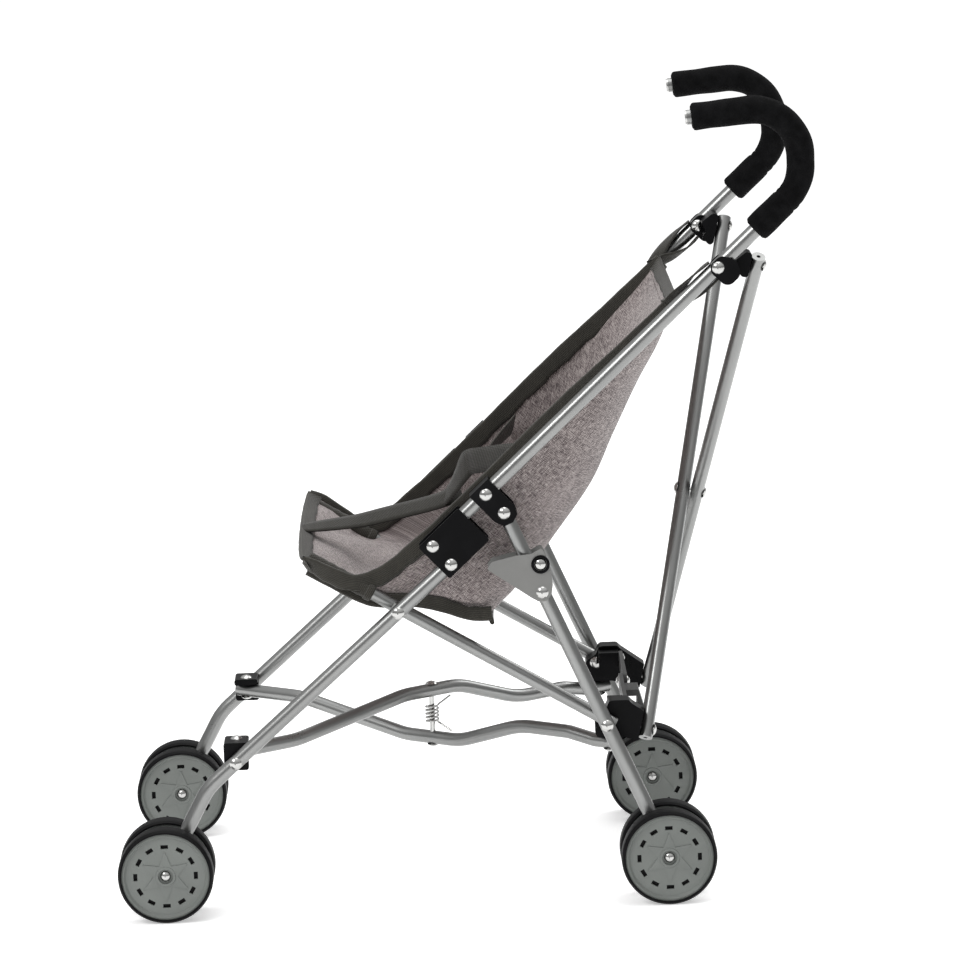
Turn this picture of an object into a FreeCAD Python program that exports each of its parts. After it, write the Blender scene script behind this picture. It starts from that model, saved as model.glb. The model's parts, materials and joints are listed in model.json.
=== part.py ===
# Umbrella-fold doll buggy: two folding side frames, a back X, a floor X, double wheels
# and a slung fabric seat.  Millimetres.  Travel runs along -X, handles are at +X, +Z is up.
import FreeCAD, Part
import Sketcher
import math
import os
from FreeCAD import Placement, Rotation, Vector

doc = FreeCAD.newDocument("DollBuggy")
sheet = doc.addObject("Spreadsheet::Sheet", "Sizes")

# Every size that can be set by itself, with what it is.
SIZES = [
    ("legPlane", 120.0, "leg tubes' plane, from the middle of the buggy"),
    ("wheelBase", 346.6, "front axle to rear axle"),
    ("wheelRadius", 33.0, "tyre's outer radius"),
    ("tyreDepth", 2.7, "tyre's radial depth"),
    ("wheelWidth", 15.0, "width of one wheel"),
    ("wheelGap", 1.5, "leg tube to each wheel"),
    ("axleRadius", 2.0, "wheel axle"),
    ("runClearance", 0.05, "radial clearance of a pin in its hole"),
    ("moveGap", 0.3, "gap between pieces that move past each other"),
    ("tubeRadius", 5.0, "frame tube's outer radius"),
    ("tubeWall", 0.9, "frame tube's wall"),
    ("seatTubeRadius", 4.6, "seat tube's outer radius"),
    ("crossTubeRadius", 4.8, "cross bars' outer radius"),
    ("rivetRadius", 2.0, "rivet shank"),
    ("headRadius", 4.2, "rivet head"),
    ("headHeight", 2.0, "rivet head's dome"),
    ("foldX", 18.5, "handle tube's lower pivot, fore-aft"),
    ("foldZ", 254.1, "handle tube's lower pivot, height"),
    ("handleSlope", 42.7, "handle tube's rise, degrees"),
    ("pivotOffset", 17.8, "leg pivots behind the handle tube's axis"),
    ("bracketAlong", 50.8, "leg bracket, along the handle tube"),
    ("crownAlong", 271.7, "upper bracket, along the handle tube"),
    ("gripAlong", 307.0, "grip's lower end, along the handle tube"),
    ("hookX", 276.0, "rearmost line of the handle's hook"),
    ("hookZ", 547.0, "top corner line of the handle's hook"),
    ("hookTipX", 200.0, "hook tip, fore-aft"),
    ("hookTipDrop", 6.8, "hook tip below the hook's corner line"),
    ("hookRadius", 32.0, "bend radius of the hook"),
    ("gripRadius", 9.4, "foam grip's outer radius"),
    ("gripEndGap", 3.0, "tube end that shows past the grip"),
    ("frontLegSlope", 41.2, "front leg's rise, degrees"),
    ("seatPivotAlong", 49.7, "seat tube pivot, down the front leg"),
    ("crossPivotAlong", 203.2, "front cross bracket, down the front leg"),
    ("legBendAlong", 230.0, "front leg's bend, down the front leg"),
    ("legBendRadius", 45.0, "bend radius of the front leg"),
    ("lowerPivotAlong", 165.0, "seat tube's rear pivot, down the rear leg"),
    ("guardAlong", 60.8, "pinch guard's rivet, down the rear leg"),
    ("tubeEnd", 7.0, "tube past its last pivot"),
    ("plateThick", 1.6, "fold plates and bracket cheeks"),
    ("guardThick", 1.2, "pinch guard's plates"),
    ("plateAhead", 7.4, "fold plate ahead of its pivots"),
    ("plateBehind", 30.9, "fold plate behind its pivots"),
    ("plateOver", 6.7, "fold plate above the handle tube's axis"),
    ("plateUnder", 6.1, "fold plate below the front leg's pivot"),
    ("plateCorner", 1.6, "fold plate's corner radius"),
    ("cheekWidth", 17.6, "leg bracket's width along the handle tube"),
    ("seatPlane", 104.4, "seat tubes' plane"),
    ("seatTubeFront", 70.0, "seat tube ahead of its pivot"),
    ("crownBack", 22.824, "back bar's top rivet, behind the upper bracket's"),
    ("crownDrop", 0.356, "back bar's top rivet, below the upper bracket's"),
    ("crownPlane", 102.5, "back bar's top rivet, from the middle"),
    ("footBack", 33.319, "back bar's bottom rivet, behind the seat tube's rear pivot"),
    ("footDrop", 12.146, "back bar's bottom rivet, below the seat tube's rear pivot"),
    ("footInset", 9.3, "back bar's bottom rivet, inside the knuckle's outer face"),
    ("earThick", 4.6, "plastic ear behind a cross bar's end"),
    ("earHalf", 8.0, "half width of a plastic ear"),
    ("knuckleGap", 0.5, "seat tube to the rear knuckle"),
    ("knuckleWidth", 15.3, "rear knuckle, across the buggy"),
    ("floorFrontZ", 110.0, "floor bar's front rivet, height"),
    ("floorFrontPlane", 99.5, "floor bar's front rivet, from the middle"),
    ("floorBack", 2.319, "floor bar's rear rivet, behind the seat tube's rear pivot"),
    ("floorDrop", 19.146, "floor bar's rear rivet, below the seat tube's rear pivot"),
    ("floorInset", 9.3, "floor bar's rear rivet, inside the knuckle's outer face"),
    ("capThick", 4.4, "plastic cap over a floor bar's end"),
    ("floorRise", 17.2, "each floor bar's bow, up or down, at the middle"),
    ("springRadius", 4.4, "spring's mean coil radius"),
    ("springWire", 0.7, "spring wire's radius"),
    ("springTurns", 5.0, "spring's coils"),
    ("springPitch", 2.6, "rise of one coil"),
    ("armBack", 13.319, "front face of the left spreader arm, behind the seat tube's rear pivot"),
    ("armOver", 3.854, "spreader arms' middle, above the seat tube's rear pivot"),
    ("armThick", 2.8, "spreader arm's plate"),
    ("armHalf", 5.6, "half height of a spreader arm"),
    ("armInset", 22.3, "spreader arm's outer rivet, inside the knuckle's outer face"),
    ("pedalDepth", 13.5, "lock pedal, rearward"),
    ("pedalTall", 20.0, "lock pedal's height"),
    ("pedalWide", 24.0, "lock pedal, across the buggy"),
    ("slingHalf", 98.6, "half width of the seat fabric between its side walls"),
    ("slingThick", 2.2, "padded fabric"),
    ("strapWide", 15.0, "webbing's width"),
    ("strapThick", 1.4, "webbing's thickness"),
]
for row, (alias, size, note) in enumerate(SIZES, start=1):
    sheet.set("A%d" % row, alias)
    sheet.set("B%d" % row, str(size))
    sheet.set("C%d" % row, note)
    sheet.setAlias("B%d" % row, alias)
doc.recompute()


def size(alias):
    return float(sheet.get(alias))


legPlane = size("legPlane")
gap = size("moveGap")
run = size("runClearance")
tubeR = size("tubeRadius")
crossR = size("crossTubeRadius")
seatR = size("seatTubeRadius")
rivetR = size("rivetRadius")
plateT = size("plateThick")
SIDES = {"left": -1, "right": 1}


# ---- Places that follow from the sizes; a point is (x, z) in a side frame's own plane ----

def slopeVector(degrees):
    return Vector(math.cos(math.radians(degrees)), 0, math.sin(math.radians(degrees)))


upHandle = slopeVector(size("handleSlope"))
offHandle = Vector(upHandle.z, 0, -upHandle.x)
downLeg = slopeVector(size("frontLegSlope")) * -1
foldPivot = Vector(size("foldX"), 0, size("foldZ"))
legPivot = foldPivot + offHandle * size("pivotOffset")
bracketPivot = foldPivot + upHandle * size("bracketAlong")
rearPivot = bracketPivot + offHandle * size("pivotOffset")
crownPivot = foldPivot + upHandle * size("crownAlong")
seatPivot = legPivot + downLeg * size("seatPivotAlong")
crossPivot = legPivot + downLeg * size("crossPivotAlong")
legBend = legPivot + downLeg * size("legBendAlong")
frontHub = Vector(-size("wheelBase") / 2, 0, size("wheelRadius"))
rearHub = Vector(size("wheelBase") / 2, 0, size("wheelRadius"))
downRear = (rearHub - rearPivot).normalize()
offRear = Vector(-downRear.z, 0, downRear.x)
lowerPivot = rearPivot + downRear * size("lowerPivotAlong")
guardPivot = rearPivot + downRear * size("guardAlong")
alongSeat = (lowerPivot - seatPivot).normalize()
seatFront = seatPivot - alongSeat * size("seatTubeFront")
crown = crownPivot + Vector(size("crownBack"), 0, -size("crownDrop"))
foot = lowerPivot + Vector(size("footBack"), 0, -size("footDrop"))
floorRear = lowerPivot + Vector(size("floorBack"), 0, -size("floorDrop"))
armMiddle = lowerPivot + Vector(size("armBack"), 0, size("armOver"))
downBack = (foot - crown).normalize()
offBack = Vector(-downBack.z, 0, downBack.x)
barStep = crossR + gap / 2
knucklePlane = size("seatPlane") - seatR - size("knuckleGap")
footPlane = knucklePlane - size("footInset")
floorRearPlane = knucklePlane - size("floorInset")
armPlane = knucklePlane - size("armInset")


def atSide(point, side, reach):
    """The point moved out to this distance from the buggy's middle."""
    return Vector(point.x, side * reach, point.z)


# ---- Building blocks ----

def prism(points, low, high, rounding=0):
    """A block with this outline in the XZ plane, between two Y values, its corners rounded or sharp."""
    corners = [Vector(p.x, low, p.z) for p in points]
    reach = Vector(0, high - low, 0)
    if not rounding:
        return Part.Face(Part.makePolygon(corners + corners[:1])).extrude(reach)
    arcs = []
    for index, corner in enumerate(corners):
        before = corners[index - 1] - corner
        after = corners[(index + 1) % len(corners)] - corner
        half = before.getAngle(after) / 2
        cut = min(rounding / math.tan(half), 0.48 * before.Length, 0.48 * after.Length)
        before.normalize()
        after.normalize()
        inward = (before + after).normalize()
        centreReach = cut / math.cos(half)
        middle = corner + inward * (centreReach - cut * math.tan(half))
        arcs.append((corner + before * cut, middle, corner + after * cut))
    edges = []
    for index, arc in enumerate(arcs):
        edges.append(Part.Arc(*arc).toShape())
        edges.append(Part.makeLine(arc[2], arcs[(index + 1) % len(arcs)][0]))
    return Part.Face(Part.Wire(edges)).extrude(reach)


def rod(start, end, radius):
    along = end - start
    return Part.makeCylinder(radius, along.Length, start, along)


def roundedPath(points, radii):
    """Straight runs joined by tangent arcs, one radius for each inner point."""
    edges = []
    here = points[0]
    for before, corner, after, radius in zip(points, points[1:], points[2:], radii):
        towards = (corner - before).normalize()
        away = (after - corner).normalize()
        turn = towards.getAngle(away)
        reach = radius * math.tan(turn / 2)
        enter = corner - towards * reach
        leave = corner + away * reach
        inward = (away - towards).normalize()
        middle = corner + inward * (radius / math.cos(turn / 2) - radius)
        edges.append(Part.LineSegment(here, enter).toShape())
        edges.append(Part.Arc(enter, middle, leave).toShape())
        here = leave
    edges.append(Part.LineSegment(here, points[-1]).toShape())
    return Part.Wire(edges)


def sweptRod(path, radius):
    first = path.Edges[0]
    start = path.OrderedVertexes[0].Point
    heading = first.tangentAt(first.FirstParameter)
    ring = Part.Wire([Part.makeCircle(radius, start, heading)])
    return path.makePipeShell([ring], True, True)


def sweptTube(path, radius, wall):
    return sweptRod(path, radius).cut(sweptRod(path, radius - wall))


def dome(base, way, radius, height):
    """A low rounded head that stands on the base point."""
    ball = (radius * radius + height * height) / (2 * height)
    low = base + way * (height - ball)
    cap = Part.makeCylinder(radius + 0.01, height, base, way)
    return Part.makeSphere(ball, low, way).common(cap)


def rivet(start, end, shank=None, head=None, blind=False):
    """A rivet whose heads bear on its ends; a blind one has no head at its start."""
    shank = rivetR if shank is None else shank
    head = size("headRadius") if head is None else head
    way = (end - start).normalize()
    ends = [dome(end, way, head, size("headHeight"))]
    if not blind:
        ends.append(dome(start, way * -1, head, size("headHeight")))
    return rod(start, end, shank).fuse(ends).removeSplitter()


def headRoom(base, way):
    """What a rivet's head needs kept clear beyond the point it bears on."""
    return rod(base, base + way * (2 * size("headHeight")), size("headRadius") + gap)


def feature(label, shape):
    """A sub-part whose shape is set here; several solids become one group."""
    if isinstance(shape, (list, tuple)):
        shape = Part.makeCompound(list(shape))
    item = doc.addObject("Part::Feature", label)
    item.Label = label
    item.Shape = shape
    item.Placement = Placement()
    return item


def originPlane(body, role):
    for item in body.Origin.OriginFeatures:
        if item.Role == role:
            return item


def newBody(label):
    body = doc.addObject("PartDesign::Body", label)
    body.Label = label
    return body


def newSketch(body, name, role="XY_Plane"):
    sketch = body.newObject("Sketcher::SketchObject", name)
    sketch.AttachmentSupport = [(originPlane(body, role), "")]
    sketch.MapMode = "FlatFace"
    return sketch


def addOutline(sketch, points, radius=0):
    """A closed outline through (x, y) pairs, with rounded corners if a radius is given."""
    corners = [Vector(x, y, 0) for x, y in points]
    enters = []
    leaves = []
    for before, corner, after in zip(corners[-1:] + corners, corners, corners[1:] + corners[:1]):
        towards = (corner - before).normalize()
        away = (after - corner).normalize()
        turn = towards.getAngle(away)
        reach = radius * math.tan(turn / 2)
        enters.append(corner - towards * reach)
        leaves.append(corner + away * reach)
        if radius:
            inward = (away - towards).normalize()
            middle = corner + inward * (radius / math.cos(turn / 2) - radius)
            sketch.addGeometry(Part.Arc(enters[-1], middle, leaves[-1]), False)
    for start, end in zip(leaves, enters[1:] + enters[:1]):
        sketch.addGeometry(Part.LineSegment(start, end), False)


def addHole(sketch, x, y, bound):
    """A circle whose radius is bound to the sheet."""
    circle = sketch.addGeometry(Part.Circle(Vector(x, y, 0), Vector(0, 0, 1), rivetR), False)
    number = sketch.addConstraint(Sketcher.Constraint("Radius", circle, rivetR))
    sketch.setExpression("Constraints[%d]" % number, bound)


def pad(body, name, sketch, bound):
    item = body.newObject("PartDesign::Pad", name)
    item.Profile = sketch
    item.setExpression("Length", bound)
    body.Tip = item
    return item


def sidePlacement(side, near, thick):
    """Lays a plate drawn in XY into the XZ plane, with its inner face at this distance."""
    y = -near if side < 0 else near + thick
    return Placement(Vector(0, y, 0), Rotation(Vector(1, 0, 0), 90))


def plateBody(label, side, near, thickName, points, holes):
    """A flat plate with rivet holes; its inner face lies `near` from the buggy's middle."""
    body = newBody(label)
    sketch = newSketch(body, label + "Outline")
    addOutline(sketch, [(p.x, p.z) for p in points], size("plateCorner"))
    for hole in holes:
        addHole(sketch, hole.x, hole.z, "Sizes.rivetRadius + Sizes.runClearance")
    pad(body, label + "Pad", sketch, "Sizes." + thickName)
    body.Placement = sidePlacement(side, near, size(thickName))
    return body


def group(label, items):
    """Several separate solids kept as one sub-part."""
    item = doc.addObject("Part::Compound", label)
    item.Label = label
    item.Links = items
    return item


nodes = []


def keep(item):
    nodes.append(item)
    return item


# ---- Wheels ----

discR = size("wheelRadius") - size("tyreDepth")
wheelOffset = tubeR + size("wheelGap") + size("wheelWidth") / 2


def wheelPlacement(hub, side, centre, outward):
    turn = Rotation(Vector(1, 0, 0), 90 * -outward)
    return Placement(Vector(hub.x, side * centre, hub.z), turn)


def makeDisc(label, place):
    """A moulded disc: rim, web with twelve slots and a six-pointed star, and a hub."""
    body = newBody(label)
    half = size("wheelWidth") / 2
    bore = size("axleRadius") + run
    face = half - 2.6
    back = half - 4.8
    section = newSketch(body, label + "Section", "XZ_Plane")
    addOutline(section, [
        (bore, -half + 1.0), (5.6, -half + 1.0), (5.6, back), (discR - 2.2, back),
        (discR - 2.2, -half + 1.2), (discR, -half + 1.2), (discR, half - 1.2),
        (discR - 1.6, half - 0.6), (discR - 3.2, face), (7.4, face), (6.6, face + 1.0),
        (5.2, face + 1.0), (5.2, face - 1.0), (bore, face - 1.0)])
    turned = body.newObject("PartDesign::Revolution", label + "Turned")
    turned.Profile = section
    turned.ReferenceAxis = (section, ["V_Axis"])
    turned.Angle = 360
    body.Tip = turned
    doc.recompute()
    whole = body.Shape.Volume
    slot = newSketch(body, label + "Slot")
    slot.AttachmentOffset = Placement(Vector(0, 0, half), Rotation())
    addOutline(slot, [(-2.6, 19.4), (2.6, 19.4), (2.6, 22.2), (-2.6, 22.2)])
    cut = body.newObject("PartDesign::Pocket", label + "SlotCut")
    cut.Profile = slot
    cut.Length = 6
    body.Tip = cut
    doc.recompute()
    if body.Shape.Volume >= whole - 1:
        cut.Reversed = True
    ring = body.newObject("PartDesign::PolarPattern", label + "Slots")
    ring.Originals = [cut]
    ring.Axis = (slot, ["N_Axis"])
    ring.Angle = 360
    ring.Occurrences = 12
    body.Tip = ring
    star = newSketch(body, label + "Star")
    star.AttachmentOffset = Placement(Vector(0, 0, face - 0.4), Rotation())
    points = []
    for step in range(12):
        reach = 17.6 if step % 2 == 0 else 8.2
        angle = math.radians(90 + 30 * step)
        points.append((reach * math.cos(angle), reach * math.sin(angle)))
    addOutline(star, points)
    star.addGeometry(Part.Circle(Vector(), Vector(0, 0, 1), 6.8), False)
    raised = body.newObject("PartDesign::Pad", label + "StarPad")
    raised.Profile = star
    raised.Length = 0.9
    body.Tip = raised
    body.Placement = place
    return body


def makeTyre(label, place):
    """A solid tyre round the disc, with a slightly crowned tread."""
    body = newBody(label)
    half = size("wheelWidth") / 2
    outer = size("wheelRadius")
    inner = discR + 0.02
    section = newSketch(body, label + "Section", "XZ_Plane")
    addOutline(section, [
        (inner, -half), (outer - 1.5, -half), (outer - 0.3, -half + 1.6), (outer, -half + 4.2),
        (outer, half - 4.2), (outer - 0.3, half - 1.6), (outer - 1.5, half), (inner, half)])
    turned = body.newObject("PartDesign::Revolution", label + "Turned")
    turned.Profile = section
    turned.ReferenceAxis = (section, ["V_Axis"])
    turned.Angle = 360
    body.Tip = turned
    body.Placement = place
    return body


for sideName, side in SIDES.items():
    for endName, hub in (("front", frontHub), ("rear", rearHub)):
        for layer, outward in (("outer", 1), ("inner", -1)):
            name = "%s_%s_%s" % (endName, layer, sideName)
            facing = side * outward if layer == "outer" else -side
            centre = legPlane + outward * wheelOffset
            place = wheelPlacement(hub, side, centre, facing)
            keep(makeDisc("wheel_disc_" + name, place))
            keep(makeTyre("wheel_tyre_" + name, place))


# ---- Side frames ----

plateNear = legPlane - tubeR - gap - plateT
plateFar = legPlane + tubeR + gap
guardNear = plateNear - gap - size("guardThick")
guardFar = plateFar + plateT + gap


def crossHole(point, radius, side, low=None, high=None):
    low = legPlane - 2 * tubeR if low is None else low
    high = legPlane + 2 * tubeR if high is None else high
    return rod(atSide(point, side, low), atSide(point, side, high), radius)


def pinAcross(point, side, near, far):
    return rivet(atSide(point, side, near), atSide(point, side, far))


hookCorner = foldPivot + upHandle * ((size("hookX") - foldPivot.x) / upHandle.x)
hookTop = Vector(size("hookX"), 0, size("hookZ"))
hookTip = Vector(size("hookTipX"), 0, size("hookZ") - size("hookTipDrop"))
gripStart = foldPivot + upHandle * size("gripAlong")
tipWay = (hookTip - hookTop).normalize()
gripEnd = hookTip - tipWay * size("gripEndGap")

def axle(hub, side):
    reach = wheelOffset + size("wheelWidth") / 2 - 3.3
    return rivet(atSide(hub, side, legPlane - reach), atSide(hub, side, legPlane + reach),
                 size("axleRadius"), 3.7)


for sideName, side in SIDES.items():
    tail = foldPivot - upHandle * (tubeR + 0.6)
    path = roundedPath([atSide(p, side, legPlane) for p in (tail, hookCorner, hookTop, hookTip)],
                       [size("hookRadius")] * 2)
    tube = sweptTube(path, tubeR, size("tubeWall"))
    for pivot in (foldPivot, bracketPivot, crownPivot):
        tube = tube.cut(crossHole(pivot, rivetR + run, side))
    keep(feature("handle_tube_" + sideName, tube))

    path = roundedPath([atSide(p, side, legPlane) for p in (gripStart, hookCorner, hookTop, gripEnd)],
                       [size("hookRadius")] * 2)
    grip = sweptRod(path, size("gripRadius")).cut(sweptRod(path, tubeR + 0.05))
    keep(feature("handle_grip_" + sideName, grip))

    plug = rod(atSide(hookTip - tipWay * 5, side, legPlane), atSide(hookTip, side, legPlane),
               tubeR - size("tubeWall") - 0.05)
    cap = rod(atSide(hookTip, side, legPlane), atSide(hookTip + tipWay * 1.2, side, legPlane),
              tubeR - 0.4)
    bracketRivet = pinAcross(bracketPivot, side, plateNear, plateFar + plateT)
    crownRivet = pinAcross(crownPivot, side, plateNear, plateFar + plateT)
    foldRivet = pinAcross(foldPivot, side, plateNear, plateFar + plateT)
    keep(feature("handle_hardware_" + sideName, [plug.fuse(cap).removeSplitter(), bracketRivet,
                                                 crownRivet, foldRivet]))

    # Leg bracket: a saddle over the handle tube with a cheek on each side.
    half = size("cheekWidth") / 2
    outline = [bracketPivot + upHandle * u + offHandle * v for u, v in (
        (-half, -tubeR - gap - plateT), (half, -tubeR - gap - plateT), (half, size("pivotOffset")),
        (half * 0.7, size("pivotOffset") + half * 0.75), (0, size("pivotOffset") + half),
        (-half * 0.7, size("pivotOffset") + half * 0.75), (-half, size("pivotOffset")))]
    block = prism(outline, side * plateNear, side * (plateFar + plateT))
    room = [bracketPivot + upHandle * u + offHandle * v for u, v in (
        (-2 * half, -tubeR - gap), (2 * half, -tubeR - gap),
        (2 * half, 4 * half), (-2 * half, 4 * half))]
    channel = block.cut(prism(room, side * (plateNear + plateT), side * plateFar))
    for pivot in (bracketPivot, rearPivot):
        channel = channel.cut(crossHole(pivot, rivetR + run, side))
    keep(feature("leg_bracket_" + sideName, channel))

    # Upper bracket: a saddle behind the handle tube, with an ear for the back bar's end.
    offset = barStep if side < 0 else -barStep
    outline = [crownPivot + upHandle * u + offHandle * v for u, v in (
        (-6.0, -5.0), (7.0, -5.0), (12.5, 5.0), (8.0, 14.5), (-5.0, 14.5))]
    block = prism(outline, side * plateNear, side * (plateFar + plateT), 6.0)
    room = [crownPivot + upHandle * u + offHandle * v for u, v in (
        (-20, -20), (20, -20), (20, tubeR + gap), (-20, tubeR + gap))]
    block = block.cut(prism(room, side * (plateNear + plateT), side * plateFar))
    face = offset - crossR - gap
    ear = size("earThick")
    wide = size("earHalf")
    outline = [crown + downBack * a + offBack * n for a, n in (
        (-wide, face), (wide + 1.0, face), (wide + 1.0, face - ear), (0, face - ear - 7.0),
        (-wide, face - ear))]
    block = block.fuse(prism(outline, side * (plateNear + plateT), side * (size("crownPlane") - wide), 2.2))
    outline = [crownPivot + upHandle * u + offHandle * v for u, v in (
        (-3.0, tubeR + gap + 0.4), (9.5, tubeR + gap + 0.4), (14.0, 12.0), (8.0, 14.5), (-3.0, 14.5))]
    block = block.fuse(prism(outline, side * plateNear, side * (size("crownPlane") - wide), 2.2))
    beyond = [crown + downBack * a + offBack * n for a, n in (
        (-60, face), (60, face), (60, face + 40), (-60, face + 40))]
    block = block.cut(prism(beyond, side * (plateNear - gap), side * (size("crownPlane") - 2 * wide)))
    block = block.cut(crossHole(crownPivot, rivetR + run, side))
    block = block.cut(headRoom(atSide(crownPivot, side, plateNear), Vector(0, -side, 0)))
    pinHole = rod(atSide(crown + offBack * (face - ear - gap), side, size("crownPlane")),
                  atSide(crown + offBack * 40, side, size("crownPlane")), rivetR + run)
    keep(feature("upper_bracket_" + sideName, block.cut(pinHole).removeSplitter()))

    # Front leg.
    top = legPivot - downLeg * (tubeR + 1.0)
    toHub = (frontHub - legBend).normalize()
    path = roundedPath([atSide(p, side, legPlane) for p in (top, legBend, frontHub + toHub * 6)],
                       [size("legBendRadius")])
    tube = sweptTube(path, tubeR, size("tubeWall"))
    for pivot in (legPivot, seatPivot, crossPivot):
        tube = tube.cut(crossHole(pivot, rivetR + run, side))
    keep(feature("front_leg_" + sideName, tube.cut(crossHole(frontHub, size("axleRadius") + 0.02, side))))

    corners = [foldPivot + upHandle * u + offHandle * v for u, v in (
        (-size("plateAhead"), -size("plateOver")), (size("plateBehind"), -size("plateOver")),
        (size("plateBehind"), size("pivotOffset") + size("plateUnder")),
        (-size("plateAhead"), size("pivotOffset") + size("plateUnder")))]
    pair = [plateBody("foldPlate%s%s" % (layer, sideName), side, near, "plateThick", corners,
                      [foldPivot, legPivot]) for layer, near in (("Out", plateFar), ("In", plateNear))]
    keep(group("fold_plates_" + sideName, pair))

    # Front bracket: rides on the front leg and caps the floor bar's end.
    seatNear = size("seatPlane") - seatR
    frontPin = Vector(crossPivot.x, 0, size("floorFrontZ"))
    inner = size("floorFrontPlane") + 9.0
    hub = [crossPivot + Vector(x, 0, z) for x, z in ((-9, -8), (8, -8), (9, 4), (9, 0), (-9, 0))]
    capLow = size("floorFrontZ") + crossR + gap
    capHigh = capLow + size("capThick")
    outline = [Vector(crossPivot.x + x, 0, z) for x, z in (
        (-8.5, crossPivot.z - 7), (8.5, crossPivot.z - 7), (8.5, capHigh), (-8.5, capHigh))]
    block = prism(outline, side * (legPlane - tubeR - gap), side * inner, 1.8)
    outline = [Vector(crossPivot.x + x, 0, z) for x, z in (
        (-8.5, capLow), (8.5, capLow), (8.5, capHigh), (-8.5, capHigh))]
    block = block.fuse(prism(outline, side * inner, side * (size("floorFrontPlane") - 8.0), 1.8))
    block = block.cut(crossHole(crossPivot, rivetR + run, side, size("floorFrontPlane"), legPlane))
    pinHole = rod(Vector(frontPin.x, side * size("floorFrontPlane"), capLow - 1),
                  Vector(frontPin.x, side * size("floorFrontPlane"), capLow + 9), rivetR + run)
    keep(feature("front_bracket_" + sideName, block.cut(pinHole).removeSplitter()))

    # Rear leg, seat tube and pinch guard.
    tube = rod(atSide(rearPivot - downRear * tubeR, side, legPlane),
               atSide(rearHub + downRear * 6, side, legPlane), tubeR)
    tube = tube.cut(rod(atSide(rearPivot - downRear * 9, side, legPlane),
                        atSide(rearHub + downRear * 9, side, legPlane), tubeR - size("tubeWall")))
    for pivot in (rearPivot, guardPivot, lowerPivot):
        tube = tube.cut(crossHole(pivot, rivetR + run, side))
    keep(feature("rear_leg_" + sideName, tube.cut(crossHole(rearHub, size("axleRadius") + 0.02, side))))

    start = atSide(seatFront, side, size("seatPlane"))
    end = atSide(lowerPivot + alongSeat * size("tubeEnd"), side, size("seatPlane"))
    outer = doc.addObject("Part::Cylinder", "seatTubeOuter" + sideName)
    outer.setExpression("Radius", "Sizes.seatTubeRadius")
    outer.Height = (end - start).Length
    inside = doc.addObject("Part::Cylinder", "seatTubeInner" + sideName)
    inside.setExpression("Radius", "Sizes.seatTubeRadius - Sizes.tubeWall")
    inside.Height = (end - start).Length - 1.2
    inside.Placement = Placement(Vector(0, 0, 1.2), Rotation())
    bored = doc.addObject("Part::Cut", "seatTubeBored" + sideName)
    bored.Base = outer
    bored.Tool = inside
    holes = doc.addObject("Part::Feature", "seatTubeHoles" + sideName)
    toTube = Placement(start, Rotation(Vector(0, 0, 1), end - start)).inverse()
    drills = [rod(atSide(p, side, size("seatPlane") - 9), atSide(p, side, size("seatPlane") + 9),
                  rivetR + run) for p in (seatPivot, lowerPivot)]
    holes.Shape = Part.makeCompound([d.transformed(toTube.toMatrix()) for d in drills])
    seatTube = doc.addObject("Part::Cut", "seat_tube_" + sideName)
    seatTube.Label = "seat_tube_" + sideName
    seatTube.Base = bored
    seatTube.Tool = holes
    seatTube.Placement = toTube.inverse()
    keep(seatTube)

    outline = [rearPivot + downRear * a + offRear * b for a, b in (
        (29.8, -27.2), (26.6, -22.0), (29.7, -5.9), (33.2, 4.4), (32.6, 12.6), (37.5, 13.0),
        (50.0, 11.4), (58.5, 9.0), (64.4, 5.4), (67.2, 0.0), (65.2, -5.0), (60.8, -8.2))]
    stopPin = rearPivot + downRear * 42.4 + offRear * (tubeR + rivetR + gap)
    pair = [plateBody("guardPlate%s%s" % (layer, sideName), side, near, "guardThick", outline,
                      [guardPivot, stopPin]) for layer, near in (("Out", guardFar), ("In", guardNear))]
    keep(group("pinch_guard_" + sideName, pair))

    # Rivets that each carry a pivot of the legs.
    spacerNear = size("seatPlane") + seatR + gap
    spacer = rod(atSide(seatPivot, side, spacerNear), atSide(seatPivot, side, legPlane - tubeR - gap),
                 tubeR).cut(crossHole(seatPivot, rivetR + run, side, spacerNear - 1))
    keep(feature("front_leg_hardware_" + sideName, [
        spacer, axle(frontHub, side),
        pinAcross(legPivot, side, plateNear, plateFar + plateT),
        pinAcross(seatPivot, side, seatNear, legPlane + tubeR),
        pinAcross(crossPivot, side, inner, legPlane + tubeR)]))
    keep(feature("rear_leg_hardware_" + sideName, [
        axle(rearHub, side),
        pinAcross(rearPivot, side, plateNear, plateFar + plateT),
        pinAcross(guardPivot, side, guardNear, guardFar + size("guardThick")),
        pinAcross(stopPin, side, guardNear, guardFar + size("guardThick")),
        pinAcross(lowerPivot, side, knucklePlane - size("knuckleWidth"), legPlane + tubeR)]))

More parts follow.
